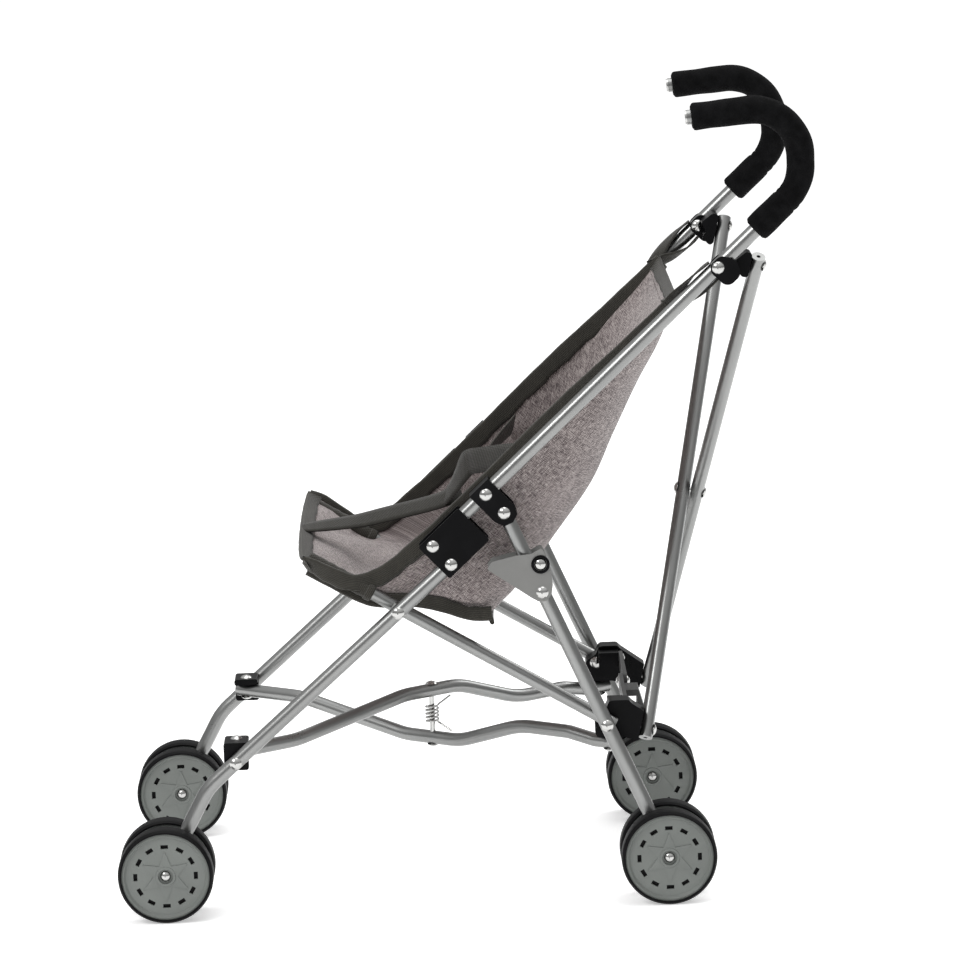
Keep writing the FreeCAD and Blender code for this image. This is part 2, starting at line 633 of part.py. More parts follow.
    # Rear knuckle: holds the seat tube's end, the back bar's foot and the floor bar's end.
    offset = -barStep if side < 0 else barStep
    face = offset - crossR - gap
    floorTop = floorRear.z + crossR + gap
    near = knucklePlane - size("knuckleWidth")
    far = knucklePlane
    q = lowerPivot
    outline = [Vector(x, 0, z) for x, z in (
        (q.x - 7.5, floorTop), (q.x + 12, floorTop), (foot.x + 2, foot.z - 9), (foot.x + 4, foot.z + 8),
        (q.x + 19, q.z + 9), (q.x + 16, q.z + 12), (q.x + 3, q.z + 12), (q.x, q.z + 6),
        (q.x - 7.5, q.z + 1))]
    block = prism(outline, side * near, side * far, 3.5)
    beyond = [foot + downBack * a + offBack * n for a, n in (
        (-60, face), (60, face), (60, face + 60), (-60, face + 60))]
    block = block.cut(prism(beyond, side * (near - 1), side * (far + 1)))
    armFront = armMiddle.x if side < 0 else armMiddle.x + size("armThick") + gap
    tongue = [Vector(x, 0, z) for x, z in (
        (q.x + 2, armMiddle.z - size("armHalf")), (armFront - gap, armMiddle.z - size("armHalf")),
        (armFront - gap, armMiddle.z + size("armHalf")), (q.x + 2, armMiddle.z + size("armHalf")))]
    block = block.fuse(prism(tongue, side * (near + 1), side * (armPlane - 6)))
    room = [Vector(x, 0, z) for x, z in (
        (armFront - gap, armMiddle.z - 7.5), (armFront + 9, armMiddle.z - 7.5),
        (armFront + 9, armMiddle.z + 7.5), (armFront - gap, armMiddle.z + 7.5))]
    block = block.cut(prism(room, side * (armPlane - 9), side * (armPlane + 7.5)))
    block = block.cut(crossHole(lowerPivot, rivetR + run, side, near - 20, far + 1))
    block = block.cut(headRoom(atSide(lowerPivot, side, near), Vector(0, -side, 0)))
    floorPin = Vector(floorRear.x, 0, floorTop)
    armPin = Vector(armFront - gap, 0, armMiddle.z)
    for point, way, depth, plane in (
            (foot + offBack * face, offBack, size("earThick"), footPlane),
            (floorPin, Vector(0, 0, -1), size("capThick"), floorRearPlane),
            (armPin, Vector(1, 0, 0), armPin.x - lowerPivot.x - 4, armPlane)):
        block = block.cut(rod(atSide(point - way * (depth + gap), side, plane),
                              atSide(point + way * gap, side, plane), rivetR + run))
    keep(feature("rear_knuckle_" + sideName, block.removeSplitter()))


# ---- Back X ----

cross = {}
for sideName, side in SIDES.items():
    offset = barStep if side < 0 else -barStep
    top = atSide(crown + offBack * offset, side, size("crownPlane"))
    bottom = atSide(foot + offBack * offset, -side, footPlane)
    along = (bottom - top).normalize()
    bar = rod(top - along * 6.5, bottom + along * 6.5, crossR)
    bar = bar.cut(rod(top - along * 3.6, bottom + along * 3.6, crossR - size("tubeWall")))
    bar = bar.cut(rod(top - along * 9, bottom + along * 9, 1.4))
    share = size("crownPlane") / (size("crownPlane") + footPlane)
    middle = top + (bottom - top) * share
    for point in (top, middle, bottom):
        bar = bar.cut(rod(point - offBack * 9, point + offBack * 9, rivetR + run))
    cross[side] = (top, middle, bottom)
    keep(feature("back_bar_" + sideName, bar))

earDepth = size("earThick")
for sideName, side in SIDES.items():
    top, middle, bottom = cross[side]
    pins = [rivet(point - offBack * (crossR + gap + earDepth), point + offBack * crossR, blind=True)
            for point in (top, bottom)]
    if side < 0:
        pins.append(rivet(cross[1][1] - offBack * crossR, cross[-1][1] + offBack * crossR))
    keep(feature("back_bar_rivets_" + sideName, pins))


# ---- Floor X ----

share = size("floorFrontPlane") / (size("floorFrontPlane") + floorRearPlane)
pinX = crossPivot.x + (floorRear.x - crossPivot.x) * share
middleZ = (size("floorFrontZ") + floorRear.z) / 2 + 2.0
for sideName, side, bow in (("left", -1, 1), ("right", 1, -1)):
    front = Vector(crossPivot.x, side * size("floorFrontPlane"), size("floorFrontZ"))
    rear = Vector(floorRear.x, -side * floorRearPlane, floorRear.z)
    across = Vector(rear.x - front.x, rear.y - front.y, 0).normalize()
    span = (Vector(rear.x, rear.y, 0) - Vector(front.x, front.y, 0)).Length
    pinAt = span * share
    high = middleZ + bow * size("floorRise") - front.z
    profile = [(-7, 0), (pinAt - 118, 0), (pinAt - 24, high), (pinAt + 24, high),
               (span - 76, 0.4 * bow - 1), (span - 34, 0.4 * bow - 1), (span - 12, rear.z - front.z),
               (span + 7, rear.z - front.z)]
    path = roundedPath([front + across * a + Vector(0, 0, z) for a, z in profile],
                       [70, 60, 60, 70, 30, 22])
    bar = sweptTube(path, crossR, size("tubeWall"))
    for point in (front, rear, Vector(pinX, 0, front.z + high)):
        bar = bar.cut(rod(point - Vector(0, 0, 9), point + Vector(0, 0, 9), rivetR + run))
    keep(feature("floor_bar_" + sideName, bar))
    pins = [rivet(front - Vector(0, 0, crossR), front + Vector(0, 0, crossR + gap + size("capThick"))),
            rivet(rear + Vector(0, 0, crossR + gap + size("capThick")), rear - Vector(0, 0, crossR),
                  blind=True)]
    if side < 0:
        reach = size("floorRise") + crossR
        pins.append(rivet(Vector(pinX, 0, middleZ - reach), Vector(pinX, 0, middleZ + reach)))
    keep(feature("floor_bar_rivets_" + sideName, pins))

turns = size("springTurns")
pitch = size("springPitch")
coilR = size("springRadius")
wire = size("springWire")
coilLow = middleZ - turns * pitch / 2
helix = Part.makeHelix(pitch, pitch * turns, coilR)
ring = Part.Wire([Part.makeCircle(wire, Vector(coilR, 0, 0), Vector(0, 1, 0.09))])
coil = Part.Wire(helix.Edges).makePipeShell([ring], True, True)
coil.translate(Vector(pinX, 0, coilLow))
armLow = rod(Vector(pinX + coilR, 0.4, coilLow), Vector(pinX + coilR + 9, -6.5, coilLow - 5.0), wire)
armTop = rod(Vector(pinX + coilR, -0.4, coilLow + pitch * turns),
             Vector(pinX + coilR + 9, 6.5, coilLow + pitch * turns + 5.0), wire)
keep(feature("centre_spring", coil.fuse([armLow, armTop])))


# ---- Spreader and lock pedal ----

for sideName, side in SIDES.items():
    front = armMiddle.x if side < 0 else armMiddle.x + size("armThick") + gap
    body = newBody("spreader_arm_" + sideName)
    sketch = newSketch(body, "spreaderOutline" + sideName, "YZ_Plane")
    half = size("armHalf")
    outer = side * armPlane
    z = armMiddle.z
    sketch.addGeometry(Part.LineSegment(Vector(outer, z - half, 0), Vector(0, z - half, 0)), False)
    sketch.addGeometry(Part.LineSegment(Vector(outer, z + half, 0), Vector(0, z + half, 0)), False)
    for x, way in ((outer, side), (0, -side)):
        start = Vector(x, z - half, 0)
        sketch.addGeometry(Part.Arc(start, Vector(x + way * half, z, 0), Vector(x, z + half, 0)), False)
    for x in (outer, 0):
        addHole(sketch, x, z, "Sizes.rivetRadius + Sizes.runClearance")
    pad(body, "spreaderPad" + sideName, sketch, "Sizes.armThick")
    body.Placement = Placement(Vector(front, 0, 0), Rotation())
    keep(body)

armFar = armMiddle.x + 2 * size("armThick") + gap
for sideName, side in SIDES.items():
    back = armMiddle.x + size("armThick") if side < 0 else armFar
    pins = [rivet(Vector(lowerPivot.x + 4, side * armPlane, armMiddle.z),
                  Vector(back, side * armPlane, armMiddle.z), blind=True)]
    if side < 0:
        pins.append(rivet(Vector(armMiddle.x, 0, armMiddle.z), Vector(armFar, 0, armMiddle.z)))
    keep(feature("spreader_rivets_" + sideName, pins))
pedalFront = armMiddle.x + size("armThick")
pedalTop = armMiddle.z + 1.0
pedalLow = pedalTop - size("pedalTall")
side = -1
pedalNear = -11.0
pedalFar = pedalNear - size("pedalWide")
outline = [Vector(x, 0, z) for x, z in (
    (pedalFront, pedalTop), (pedalFront, pedalLow + 3), (pedalFront + 9.5, pedalLow),
    (pedalFront + size("pedalDepth"), pedalLow + 7), (pedalFront + 9.8, pedalTop))]
pedal = prism(outline, pedalFar, pedalNear)
window = [Vector(x, 0, z) for x, z in (
    (pedalFront + 2.2, pedalLow + 6), (pedalFront + 8.6, pedalLow + 6),
    (pedalFront + 8.6, pedalTop - 4.5), (pedalFront + 2.2, pedalTop - 4.5))]
keep(feature("lock_pedal", pedal.cut(prism(window, pedalFar - 1, pedalNear + 1))))


# ---- Seat fabric and webbing ----

thick = size("slingThick")
inward = size("slingHalf")
sag = [Vector(187, 0, 413), Vector(166, 0, 366), Vector(140, 0, 318), Vector(112, 0, 272),
       Vector(84, 0, 234), Vector(58, 0, 203), Vector(38, 0, 196), Vector(0, 0, 214),
       Vector(-40, 0, 232), Vector(-70, 0, 247)]
shift = []
for number, point in enumerate(sag):
    before = sag[max(number - 1, 0)]
    after = sag[min(number + 1, len(sag) - 1)]
    way = (after - before).normalize()
    shift.append(point + Vector(way.z, 0, -way.x) * -thick)
panel = prism(sag + shift[::-1], -inward, inward)
edge = foldPivot - offHandle * (tubeR + 3)
wingTop = [Vector(187, 0, 413), Vector(184, 0, 418), edge + upHandle * 150, edge + upHandle * 20,
           edge - upHandle * 8, Vector(-34, 0, 243), Vector(-70, 0, 250)]
wing = wingTop + [shift[-1]] + sag[::-1][:0] + sag[::-1]
sling = panel
for side in (-1, 1):
    wall = prism(wing[:-1], side * (inward - thick), side * inward)
    sling = sling.fuse(wall)
    sleeveStart = atSide(seatFront - alongSeat * 0.6, side, size("seatPlane"))
    sleeveEnd = atSide(seatFront + alongSeat * 50, side, size("seatPlane"))
    sleeve = rod(sleeveStart, sleeveEnd, seatR + gap + 1.8)
    sling = sling.fuse(sleeve)
for side in (-1, 1):
    sleeveStart = atSide(seatFront - alongSeat * 0.6 + alongSeat * (0.6 - gap), side, size("seatPlane"))
    sleeveEnd = atSide(seatFront + alongSeat * 60, side, size("seatPlane"))
    sling = sling.cut(rod(sleeveStart, sleeveEnd, seatR + gap))
keep(feature("seat_sling", sling.removeSplitter()))

strap = size("strapThick")
belts = []
lift = 4.0
crotch = [Vector(-69, 0, 248.3), Vector(-50, 0, 249.5), Vector(-24, 0, 254), Vector(4, 0, 262),
          Vector(34, 0, 274)]
under = [p - Vector(0, 0, strap) for p in crotch]
belts.append(prism(crotch + under[::-1], -size("strapWide") / 2, size("strapWide") / 2))
for side in (-1, 1):
    foldFrom = Vector(34.5, side * (size("strapWide") / 2 - 6), 268)
    foldTo = Vector(88, side * (inward - thick - 0.4), 282)
    tall = Vector(0, 0, size("strapWide"))
    corners = [foldFrom, foldTo, foldTo + tall, foldFrom + tall]
    face = Part.Face(Part.makePolygon(corners + corners[:1]))
    belts.append(face.extrude(Vector(strap, 0, 0)))
for side in (-1, 1):
    low = atSide(foldPivot + upHandle * (size("crownAlong") - 46) - offHandle * (tubeR + gap), side, legPlane)
    high = atSide(foldPivot + upHandle * (size("crownAlong") - 9) - offHandle * (tubeR + gap), side, legPlane)
    ups = [low, high, high - offHandle * strap, low - offHandle * strap]
    belts.append(prism(ups, side * (legPlane - 5), side * (legPlane + 4)))
keep(feature("harness_webbing", belts))


# ---- Checks, then one STEP file for each sub-part ----

# The origin is under the middle of the whole buggy, on the floor.
frontEdge = -size("wheelBase") / 2 - size("wheelRadius")
rearEdge = size("hookX") + size("gripRadius")
toOrigin = Placement(Vector(-(frontEdge + rearEdge) / 2, 0, 0), Rotation())
for item in nodes:
    item.Placement = toOrigin * item.Placement
doc.recompute()
for item in doc.Objects:
    for word in ("Invalid", "Error"):
        if word in item.State:
            raise RuntimeError("%s is %s" % (item.Label, word))
os.makedirs("parts", exist_ok=True)
for item in nodes:
    shape = item.Shape
    if shape.isNull() or not shape.isValid() or not shape.Solids:
        raise RuntimeError("%s has no valid shape" % item.Label)
    shape.exportStep("parts/%s.step" % item.Label)
print("%d sub-parts written" % len(nodes))
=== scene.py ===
import bpy, math, json
import numpy as np
from mathutils import Vector, Matrix


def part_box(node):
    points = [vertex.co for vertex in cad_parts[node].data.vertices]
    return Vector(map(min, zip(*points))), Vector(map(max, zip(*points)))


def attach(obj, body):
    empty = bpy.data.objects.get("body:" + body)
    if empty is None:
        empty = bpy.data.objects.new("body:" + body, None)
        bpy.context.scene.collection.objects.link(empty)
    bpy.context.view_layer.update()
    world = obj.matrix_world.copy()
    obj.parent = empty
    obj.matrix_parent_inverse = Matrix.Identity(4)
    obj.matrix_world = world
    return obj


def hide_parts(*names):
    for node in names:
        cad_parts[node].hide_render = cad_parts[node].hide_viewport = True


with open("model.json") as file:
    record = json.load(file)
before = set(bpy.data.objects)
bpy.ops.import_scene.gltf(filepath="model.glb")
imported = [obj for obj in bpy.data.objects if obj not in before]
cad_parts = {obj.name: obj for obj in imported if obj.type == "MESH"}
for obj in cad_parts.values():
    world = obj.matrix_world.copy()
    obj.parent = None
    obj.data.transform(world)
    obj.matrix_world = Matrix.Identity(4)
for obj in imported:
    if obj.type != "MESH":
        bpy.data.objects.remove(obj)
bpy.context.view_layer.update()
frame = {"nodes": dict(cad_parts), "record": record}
print("frame loaded")


class Shade:
    # a socket that adds maths nodes when it is used in a sum

    def __init__(self, tree, socket):
        self.tree = tree
        self.socket = socket

    def maths(self, kind, *values):
        node = self.tree.nodes.new("ShaderNodeMath")
        node.operation = kind
        for slot, value in zip(node.inputs, (self,) + values):
            if isinstance(value, Shade):
                self.tree.links.new(value.socket, slot)
            else:
                slot.default_value = value
        return Shade(self.tree, node.outputs[0])

    def __add__(self, other): return self.maths("ADD", other)
    def __sub__(self, other): return self.maths("SUBTRACT", other)
    def __mul__(self, other): return self.maths("MULTIPLY", other)
    def __radd__(self, other): return self.maths("ADD", other)
    def __rmul__(self, other): return self.maths("MULTIPLY", other)
    def __rsub__(self, other): return self.maths("MULTIPLY", -1.0).maths("ADD", other)


class Nodes:
    # adds nodes to one tree, with their settings first and then the values or links of their sockets

    def __init__(self, tree):
        self.tree = tree

    def node(self, kind, out, settings=None, numbered=None, **named):
        item = self.tree.nodes.new(kind)
        for key, value in (settings or {}).items():
            setattr(item, key, value)
        sockets = dict(numbered or {})
        sockets.update({key.replace("_", " "): value for key, value in named.items()})
        for key, value in sockets.items():
            if isinstance(value, Shade):
                self.tree.links.new(value.socket, item.inputs[key])
            else:
                item.inputs[key].default_value = value
        return Shade(self.tree, item.outputs[out])


class Coat(Nodes):
    # one procedural material, made node by node

    def __init__(self, name, colour, rough, metal=0.0, coat=0.0, specular=0.5):
        self.material = bpy.data.materials.new(name)
        self.material.use_nodes = True
        super().__init__(self.material.node_tree)
        self.shader = self.tree.nodes["Principled BSDF"]
        for key, value in (("Base Color", tuple(colour) + (1,)), ("Roughness", rough), ("Metallic", metal),
                           ("Coat Weight", coat), ("Specular IOR Level", specular)):
            self.shader.inputs[key].default_value = value
        self.place = self.node("ShaderNodeTexCoord", "Object")

    def noise(self, scale, detail=3.0, rough=0.5, place=None):
        return self.node("ShaderNodeTexNoise", "Fac", Vector=place or self.place, Scale=scale, Detail=detail,
                         Roughness=rough)

    def mix(self, share, low, high):
        low, high = [end if isinstance(end, Shade) else tuple(end) + (1,) for end in (low, high)]
        return self.node("ShaderNodeMix", 2, {"data_type": "RGBA"}, {0: share, 6: low, 7: high})

    def stretch(self, x, y, z):
        return self.node("ShaderNodeMapping", "Vector", Vector=self.place, Scale=(x, y, z))

    def ramp(self, value, low, high):
        return self.node("ShaderNodeMapRange", "Result", {"clamp": True}, Value=value, From_Min=low,
                         From_Max=high)

    def feed(self, key, value):
        self.tree.links.new(value.socket, self.shader.inputs[key])

    def bump(self, height, strength, distance):
        self.feed("Normal", self.node("ShaderNodeBump", "Normal", Height=height, Strength=strength,
                                      Distance=distance))


# finishes, as linear colours
look = {
    "silver": (0.275, 0.278, 0.274), "silverShade": 0.88,
    "black": (0.0030, 0.0030, 0.0034), "blackWorn": (0.008, 0.008, 0.009),
    "chrome": (0.50, 0.50, 0.49),
    "guard": (0.205, 0.205, 0.198), "arm": (0.050, 0.050, 0.049), "disc": (0.165, 0.177, 0.166),
    "tyre": (0.0034, 0.0034, 0.0038), "tyreScuff": (0.011, 0.0105, 0.010),
    "foam": (0.0022, 0.0022, 0.0024), "foamWorn": (0.0075, 0.0075, 0.008),
    "fabricDark": (0.050, 0.038, 0.040), "fabricMid": (0.172, 0.141, 0.139),
    "fabricLight": (0.40, 0.354, 0.341),
    "binding": (0.030, 0.028, 0.023), "webbing": (0.025, 0.0235, 0.0195), "thread": (0.16, 0.14, 0.13),
}


def satinSilver():
    coat = Coat("satinSilver", look["silver"], 0.30, 0.96, 0.05)
    grain = coat.noise(900, 2)
    cloud = coat.noise(22, 4)
    coat.feed("Roughness", 0.22 + grain * 0.07 + cloud * 0.09)
    shaded = [c * look["silverShade"] for c in look["silver"]]
    coat.feed("Base Color", coat.mix(coat.ramp(cloud, 0.35, 0.75), look["silver"], shaded))
    coat.bump(grain, 0.10, 0.00012)
    return coat.material


def glossBlack(name="glossBlack", rough=0.24):
    coat = Coat(name, look["black"], rough, 0.0, 0.0, 0.07)
    fleck = coat.noise(420, 3)
    smear = coat.noise(38, 5)
    coat.feed("Roughness", rough + smear * 0.16)
    coat.feed("Base Color", coat.mix(coat.ramp(smear, 0.5, 0.9), look["black"], look["blackWorn"]))
    coat.bump(fleck, 0.12, 0.00025)
    return coat.material


def chrome():
    coat = Coat("chrome", look["chrome"], 0.12, 1.0)
    scratch = coat.noise(260, 4, place=coat.stretch(1, 6, 1))
    coat.feed("Roughness", 0.10 + scratch * 0.14)
    coat.bump(scratch, 0.06, 0.0001)
    return coat.material


def moulded(name, colour, rough, darker=0.75):
    coat = Coat(name, colour, rough, 0.0, 0.0, 0.4)
    grain = coat.noise(1100, 2)
    cloud = coat.noise(30, 4)
    coat.feed("Base Color", coat.mix(coat.ramp(cloud, 0.3, 0.8), colour, [c * darker for c in colour]))
    coat.feed("Roughness", rough - 0.06 + cloud * 0.14)
    coat.bump(grain, 0.20, 0.0002)
    return coat.material


def tyreRubber():
    coat = Coat("tyreRubber", look["tyre"], 0.48, specular=0.09)
    grain = coat.noise(700, 3)
    scuff = coat.noise(60, 6, 0.65)
    coat.feed("Base Color", coat.mix(coat.ramp(scuff, 0.52, 0.85), look["tyre"], look["tyreScuff"]))
    coat.feed("Roughness", 0.40 + scuff * 0.22)
    coat.bump(grain + scuff * 0.6, 0.22, 0.0003)
    return coat.material


def foamRubber():
    coat = Coat("foamRubber", look["foam"], 0.93, specular=0.08)
    cells = coat.node("ShaderNodeTexVoronoi", "Distance", Vector=coat.place, Scale=1500.0)
    lump = coat.noise(140, 5)
    coat.feed("Base Color", coat.mix(coat.ramp(lump, 0.35, 0.8), look["foam"], look["foamWorn"]))
    coat.feed("Roughness", 0.86 + lump * 0.12)
    coat.bump(cells * 0.6 + lump, 0.55, 0.0007)
    return coat.material


def melange():
    # two-tone plain weave: slubby threads both ways, read from the cloth's own flat coordinates
    coat = Coat("melange", look["fabricMid"], 0.86, specular=0.25)
    coat.shader.inputs["Sheen Weight"].default_value = 0.25
    coat.shader.inputs["Sheen Roughness"].default_value = 0.6
    flat = coat.node("ShaderNodeAttribute", "Vector", {"attribute_name": "flatPlace"})

    def threads(x, y, scale):
        stretched = coat.node("ShaderNodeMapping", "Vector", Vector=flat, Scale=(x, y, 1))
        return coat.noise(scale, 4, 0.62, place=stretched)

    warp = threads(60, 4.2, 39)
    weft = threads(4.2, 60, 39)
    fineWarp = threads(16, 2.4, 160)
    fineWeft = threads(2.4, 16, 160)
    cloud = coat.noise(34, 5)
    slub = (warp + weft) * 0.62 + (fineWarp + fineWeft) * 0.26 - 0.38
    shade = coat.ramp(slub + cloud * 0.08, 0.435, 0.625)
    dark = coat.mix(coat.ramp(shade, 0.0, 0.45), look["fabricDark"], look["fabricMid"])
    coat.feed("Base Color", coat.mix(coat.ramp(shade, 0.5, 1.0), dark, look["fabricLight"]))
    across, down = [coat.node("ShaderNodeTexWave", "Fac", {"bands_direction": way}, Vector=flat, Scale=190.0,
                              Distortion=1.2) for way in "XY"]
    coat.bump(across * 0.5 + down * 0.5 + slub * 1.5, 0.50, 0.0005)
    return coat.material


def ribbed(name, colour, lanes):
    # woven tape: ribs along it and a fine cross twill
    coat = Coat(name, colour, 0.80, specular=0.2)
    coat.shader.inputs["Sheen Weight"].default_value = 0.2
    flat = coat.node("ShaderNodeAttribute", "Vector", {"attribute_name": "flatPlace"})
    ribs = coat.node("ShaderNodeTexWave", "Fac", {"bands_direction": "Y"}, Vector=flat, Scale=lanes,
                     Distortion=0.3)
    twill = coat.node("ShaderNodeTexWave", "Fac", {"bands_direction": "DIAGONAL"}, Vector=flat,
                      Scale=lanes * 0.8)
    cloud = coat.noise(120, 4)
    coat.feed("Base Color", coat.mix(coat.ramp(ribs * 0.5 + cloud * 0.5, 0.3, 0.8), [c * 0.7 for c in colour],
                                     [c * 1.6 for c in colour]))
    coat.bump(ribs + twill * 0.6, 0.55, 0.0005)
    return coat.material


paint = {
    "silver": satinSilver(), "black": glossBlack(), "blackSteel": glossBlack("blackSteel", 0.32),
    "chrome": chrome(), "guard": moulded("guardPlastic", look["guard"], 0.42),
    "arm": moulded("armPlastic", look["arm"], 0.40), "disc": moulded("discPlastic", look["disc"], 0.46, 0.82),
    "tyre": tyreRubber(), "foam": foamRubber(), "fabric": melange(),
    "binding": ribbed("bindingTape", look["binding"], 260),
    "webbing": ribbed("webbingTape", look["webbing"], 300),
    "thread": moulded("stitchThread", look["thread"], 0.7),
}
slotPaint = {
    "wheel_plastic": "disc", "tyre": "tyre", "tube": "silver", "foam": "foam", "rivet": "chrome",
    "black_plastic": "black", "black_steel": "blackSteel", "guard_plastic": "guard", "spring_steel": "chrome",
    "seat_fabric": "fabric", "webbing": "webbing",
}
slotOf = {entry["node"]: entry["material_slot"] for entry in frame["record"]["subparts"]}
darkPieces = ("spreader_arm_left", "spreader_arm_right", "lock_pedal")
for name, item in frame["nodes"].items():
    material = paint["arm" if name in darkPieces else slotPaint[slotOf[name]]]
    if not item.material_slots:
        item.data.materials.append(material)
    for place in item.material_slots:
        place.material = material
print("materials made")


def newMesh(name, points, faces, flat=None, smooth=True):
    mesh = bpy.data.meshes.new(name)
    mesh.from_pydata([tuple(p) for p in points], [], faces)
    if flat is not None:
        layer = mesh.attributes.new("flatPlace", "FLOAT_VECTOR", "POINT")
        layer.data.foreach_set("vector", np.asarray(flat, "f").ravel())
    for face in mesh.polygons:
        face.use_smooth = smooth
    mesh.update()
    item = bpy.data.objects.new(name, mesh)
    bpy.context.scene.collection.objects.link(item)
    return item


def settle(item):
    # keeps what the modifiers give and clears them
    graph = bpy.context.evaluated_depsgraph_get()
    mesh = bpy.data.meshes.new_from_object(item.evaluated_get(graph))
    item.modifiers.clear()
    item.data = mesh


def curveThrough(values, share):
    # Catmull-Rom between stations, for an array of shares 0 to 1
    values = np.asarray(values, float)
    where = np.clip(np.asarray(share, float) * (len(values) - 1), 0, len(values) - 1 - 1e-9)
    index = where.astype(int)
    t = (where - index).reshape(index.shape + (1,) * (values.ndim - 1))
    at = [values[np.clip(index + k, 0, len(values) - 1)] for k in (-1, 0, 1, 2)]
    return 0.5 * (2 * at[1] + (at[2] - at[0]) * t + (2 * at[0] - 5 * at[1] + 4 * at[2] - at[3]) * t ** 2
                  + (3 * at[1] - at[0] - 3 * at[2] + at[3]) * t ** 3)


seat = {
    "halfWidth": 0.1045, "thickness": 0.0016, "across": 64, "along": 150,
    # edge line and bottom line (x, z) and boxiness, from the top of the back to the front hem
    "stations": [
        ((0.1490, 0.4180), (0.1530, 0.4080), 2.0), ((0.1310, 0.4020), (0.1400, 0.3760), 2.2),
        ((0.1040, 0.3780), (0.1245, 0.3490), 2.5), ((0.0760, 0.3540), (0.1070, 0.3160), 3.2),
        ((0.0460, 0.3265), (0.0910, 0.2830), 3.6), ((0.0180, 0.3000), (0.0650, 0.2480), 4.0),
        ((-0.0040, 0.2800), (0.0380, 0.2140), 4.6), ((-0.0120, 0.2725), (0.0260, 0.2030), 5.4),
        ((-0.0190, 0.2660), (0.0180, 0.1978), 7.0), ((-0.0240, 0.2617), (0.0110, 0.1982), 7.0),
        ((-0.0380, 0.2505), (-0.0080, 0.2020), 6.0), ((-0.0490, 0.2415), (-0.0280, 0.2080), 6.0),
        ((-0.0610, 0.2345), (-0.0490, 0.2125), 5.5), ((-0.0740, 0.2320), (-0.0680, 0.2170), 4.5),
        ((-0.0880, 0.2390), (-0.0860, 0.2270), 3.6), ((-0.1000, 0.2465), (-0.1015, 0.2380), 2.8),
        ((-0.1095, 0.2500), (-0.1135, 0.2465), 2.2)],
    "frontLift": 0.0035, "flare": 0.0064, "creaseDepth": 0.0012,
    "topStitch": 0.030, "frontStitch": 0.955,
    # seam where each side wall meets the bottom, (x, z) from the front, and the seam across behind it
    "seam": [(-0.1085, 0.2370), (-0.0950, 0.2290), (-0.0810, 0.2208), (-0.0670, 0.2140), (-0.0540, 0.2118),
             (-0.0350, 0.2115), (-0.0176, 0.2078), (-0.0007, 0.2018), (0.0090, 0.2003), (0.0178, 0.2003)],
    "backSeam": (0.0178, 0.1978), "seamSag": 0.0012,
}
edgeLine = [s[0] for s in seat["stations"]]
lowLine = [s[1] for s in seat["stations"]]
boxiness = [[s[2]] for s in seat["stations"]]


def slingPoint(along, across):
    # along runs 0 at the back's top to 1 at the front hem, across -1 to 1
    along, across = np.broadcast_arrays(np.asarray(along, float), np.asarray(across, float))
    edge = curveThrough(edgeLine, along)
    low = curveThrough(lowLine, along)
    power = 2 / curveThrough(boxiness, along)[..., 0]
    angle = across * math.pi / 2
    depth = np.abs(np.cos(angle)) ** power
    flare = np.clip((along - 0.76) / 0.10, 0, 1)
    reach = seat["halfWidth"] + seat["flare"] * flare * flare * (3 - 2 * flare)
    side = np.sign(across) * np.abs(np.sin(angle)) ** power * reach
    spot = edge + (low - edge) * depth[..., None]
    lift = np.clip((along - 0.80) / 0.12, 0, 1) * seat["frontLift"] * across
    spot = spot + np.stack([np.zeros_like(lift), lift], -1)
    return np.stack([spot[..., 0], side, spot[..., 1]], -1)


def creases(along, across):
    # soft folds fan from the top corners, short ones lie in the lap, and all fade out at the hems
    fan = np.sin(16 * across * (0.4 + along) + 5 * along) * np.exp(-((along - 0.26) / 0.20) ** 2)
    lap = np.sin(34 * along + 5 * np.abs(across)) * np.exp(-((along - 0.62) / 0.09) ** 2) * (1 - across ** 2)
    slack = np.sin(9 * across + 30 * along) * np.exp(-((along - 0.86) / 0.07) ** 2) * (1 - across ** 4)
    hem = np.clip((1 - np.abs(across)) / 0.16, 0, 1) * np.clip(along / 0.06, 0, 1)
    hem = hem * np.clip((1 - along) / 0.06, 0, 1)
    hem = hem * hem * (3 - 2 * hem)
    return (0.8 * fan + 1.2 * lap + 2.2 * slack) * hem * seat["creaseDepth"]


def gridSheet(name, along, across):
    # the cloth's mesh, with each point's place on the flat cloth for the weave
    points = slingPoint(along, across)
    rows, columns = along.shape
    stepRow = np.gradient(points, axis=0)
    stepColumn = np.gradient(points, axis=1)
    normal = np.cross(stepColumn, stepRow)
    normal /= np.linalg.norm(normal, axis=-1, keepdims=True) + 1e-12
    points = points + normal * creases(along, across)[..., None]
    lengthRow = np.linalg.norm(np.diff(points, axis=0, prepend=points[:1]), axis=-1).cumsum(0)
    lengthColumn = np.linalg.norm(np.diff(points, axis=1, prepend=points[:, :1]), axis=-1).cumsum(1)
    flat = np.stack([lengthColumn, lengthRow, np.zeros_like(along)], -1)
    faces = [(r * columns + c, r * columns + c + 1, (r + 1) * columns + c + 1, (r + 1) * columns + c)
             for r in range(rows - 1) for c in range(columns - 1)]
    return newMesh(name, points.reshape(-1, 3), faces, flat.reshape(-1, 3))


def spreadAcross(count):
    # closer where the sides turn into the bottom
    return np.sin(np.linspace(-1, 1, count) * math.pi / 2 * 0.92) / math.sin(math.pi / 2 * 0.92)


alongGrid, acrossGrid = np.meshgrid(np.linspace(0, 1, seat["along"]), spreadAcross(seat["across"]),
                                    indexing="ij")
sling = gridSheet("seat_fabric", alongGrid, acrossGrid)
sling.data.materials.append(paint["fabric"])
thick = sling.modifiers.new("thick", "SOLIDIFY")
thick.thickness = seat["thickness"]
thick.offset = 0
settle(sling)
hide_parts("seat_sling")
print("sling made")


